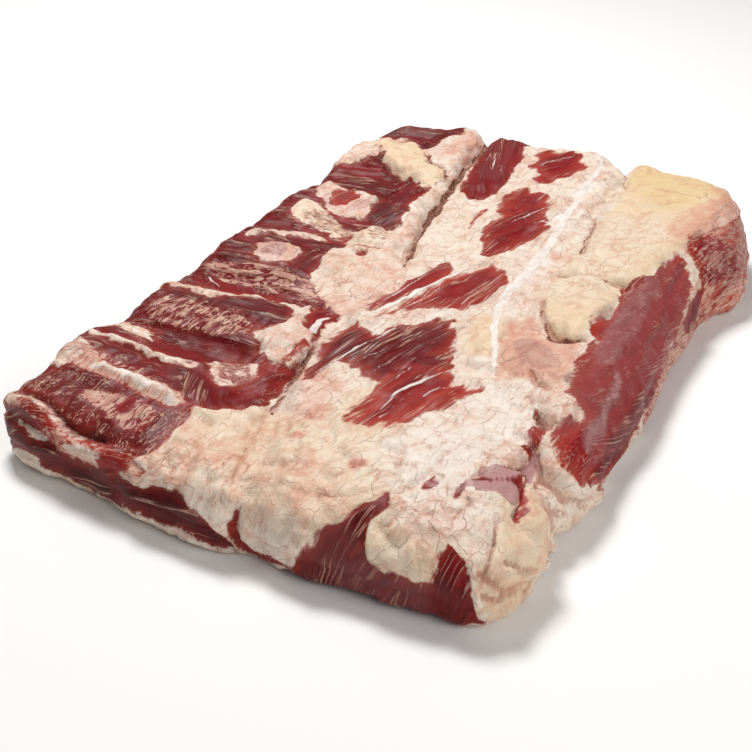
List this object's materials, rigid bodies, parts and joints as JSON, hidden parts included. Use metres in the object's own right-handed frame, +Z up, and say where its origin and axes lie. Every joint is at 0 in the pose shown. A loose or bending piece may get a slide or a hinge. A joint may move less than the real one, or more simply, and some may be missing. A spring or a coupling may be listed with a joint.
{
  "type": "beef brisket",
  "caption": "Whole raw beef brisket, boneless with the deckle on, lying fat cap down with the bone side up.",
  "frame": {"origin": "on the floor under the middle of the plan", "axes": "+X from the breastbone edge to the outer edge, +Y from the front end to the back end, +Z up"},
  "size_m": [0.3044, 0.4568, 0.0538],
  "materials": {
    "raw_beef": "moist red lean with cream and yellow fat, pink veins and white sinew"
  },
  "bodies": {
    "root": {"brisket": "raw_beef"}
  },
  "joints": []
}
